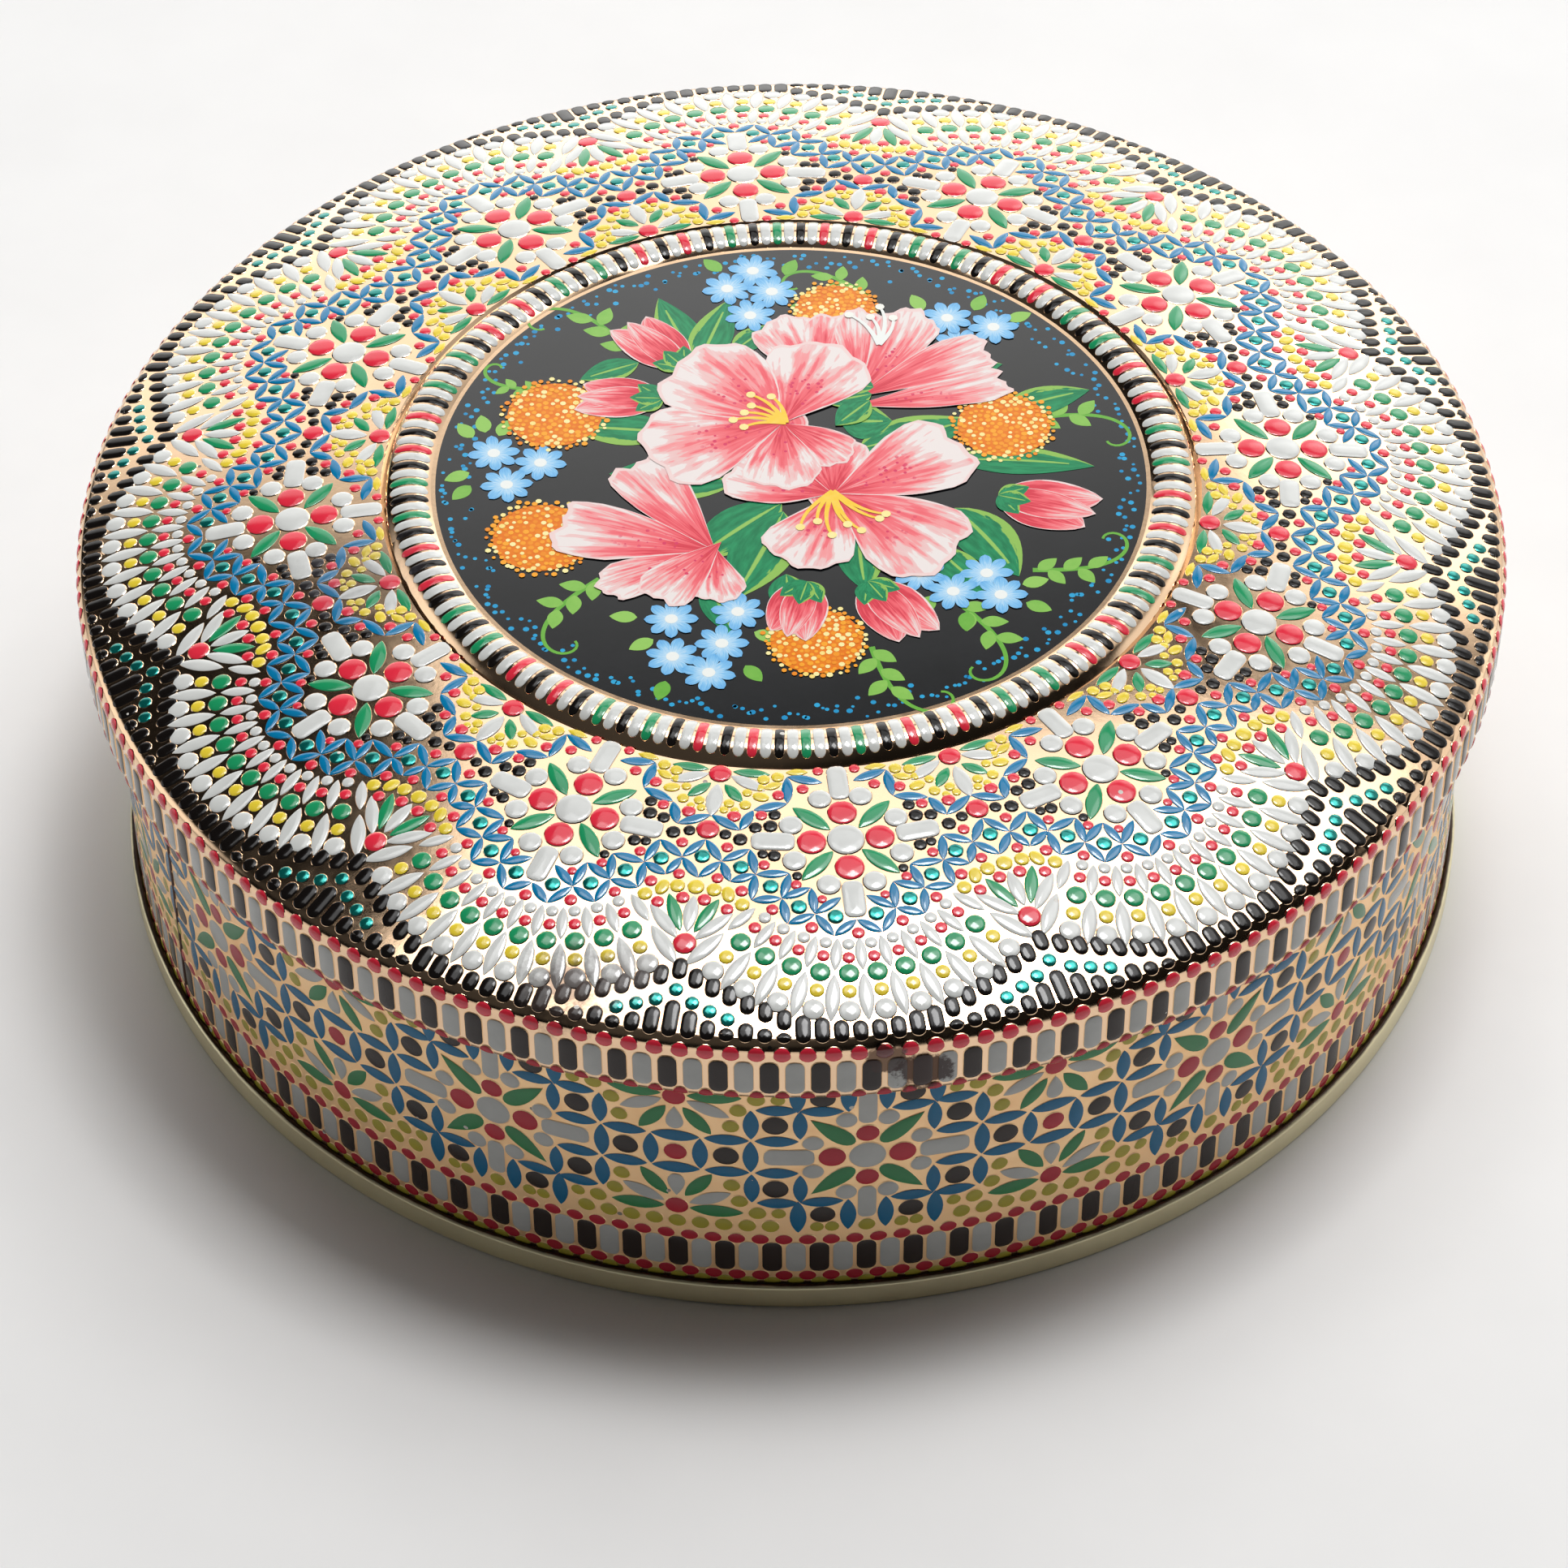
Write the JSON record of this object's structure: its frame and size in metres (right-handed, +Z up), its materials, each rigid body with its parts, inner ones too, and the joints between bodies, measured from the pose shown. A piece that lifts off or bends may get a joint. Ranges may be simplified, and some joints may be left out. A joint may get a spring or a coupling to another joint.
{
  "type": "cookie tin",
  "caption": "Round tinplate cookie tin: slip-on domed lid with a framed picture panel, straight wall with a curled top edge and a double-seamed recessed base.",
  "frame": {"origin": "on the tin's upright axis, at the plane its base seam stands on", "axes": "+Z up along the tin's axis; -Y is the front; the wall's side seam is at the back left"},
  "size_m": [0.22, 0.22, 0.0702],
  "materials": {
    "lid_tinplate": "gold lacquer, glossy",
    "wall_tinplate": "gold lacquer, glossy",
    "base_tinplate": "gold lacquer, glossy",
    "white_enamel": "gloss print",
    "black_enamel": "gloss print",
    "red_enamel": "gloss print",
    "green_enamel": "gloss print",
    "blue_enamel": "gloss print",
    "yellow_enamel": "gloss print",
    "teal_enamel": "gloss print",
    "panel_print": "satin black print with a flower picture"
  },
  "bodies": {
    "tin": {"wall": "wall_tinplate", "base": "base_tinplate"},
    "cover": {"lid": "lid_tinplate"}
  },
  "joints": [
    {"name": "lid_lift", "type": "slide", "parent": "tin", "child": "cover", "axis": [0, 0, 1], "range_m": [0, 0.12]}
  ]
}
